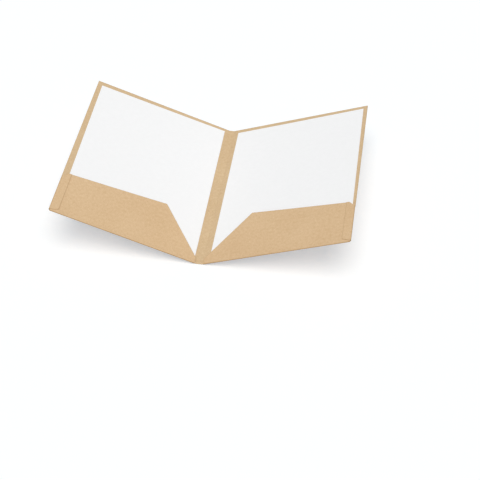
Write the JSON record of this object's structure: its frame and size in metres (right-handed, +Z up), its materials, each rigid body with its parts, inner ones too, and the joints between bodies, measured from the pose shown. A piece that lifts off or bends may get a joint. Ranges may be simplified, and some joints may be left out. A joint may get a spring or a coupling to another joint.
{
  "type": "two pocket folder",
  "caption": "Open kraft card presentation folder with a creased spine, a slanted pocket folded up along the bottom of each cover, glued side tabs and loose paper sheets.",
  "frame": {"origin": "middle of the spine's underside, where the open folder stands on the table", "axes": "+Z up, +Y along the spine from the pocket end to the top edge, +X across the spine towards the back cover"},
  "size_m": [0.431, 0.31, 0.0792],
  "materials": {
    "kraft_card": "matte",
    "white_paper": "matte",
    "glue": "satin"
  },
  "bodies": {
    "spine": {"spine": "kraft_card", "front_spine_crease": "kraft_card", "back_spine_crease": "kraft_card"},
    "front_cover": {"front_cover": "kraft_card", "front_pocket_fold": "kraft_card", "front_pocket": "kraft_card", "front_tab_fold": "kraft_card", "front_glue_tab": "kraft_card", "front_glue_film": "glue"},
    "front_sheet": {"front_sheet": "white_paper"},
    "back_cover": {"back_cover": "kraft_card", "back_pocket_fold": "kraft_card", "back_pocket": "kraft_card", "back_tab_fold": "kraft_card", "back_glue_tab": "kraft_card", "back_glue_film": "glue"},
    "back_sheet": {"back_sheet": "white_paper"}
  },
  "joints": [
    {"name": "front_cover_fold", "type": "hinge", "parent": "spine", "child": "front_cover", "pos_m": [-0.004, 0, 0.0003], "axis": [0, 1, 0], "range_deg": [-20, 70]},
    {"name": "back_cover_fold", "type": "hinge", "parent": "spine", "child": "back_cover", "pos_m": [0.004, 0, 0.0003], "axis": [0, -1, 0], "range_deg": [-20, 70]},
    {"name": "front_sheet_slide", "type": "slide", "parent": "front_cover", "child": "front_sheet", "axis": [0, 1, 0], "range_m": [-0.003, 0.1]},
    {"name": "back_sheet_slide", "type": "slide", "parent": "back_cover", "child": "back_sheet", "axis": [0, 1, 0], "range_m": [-0.003, 0.1]}
  ]
}
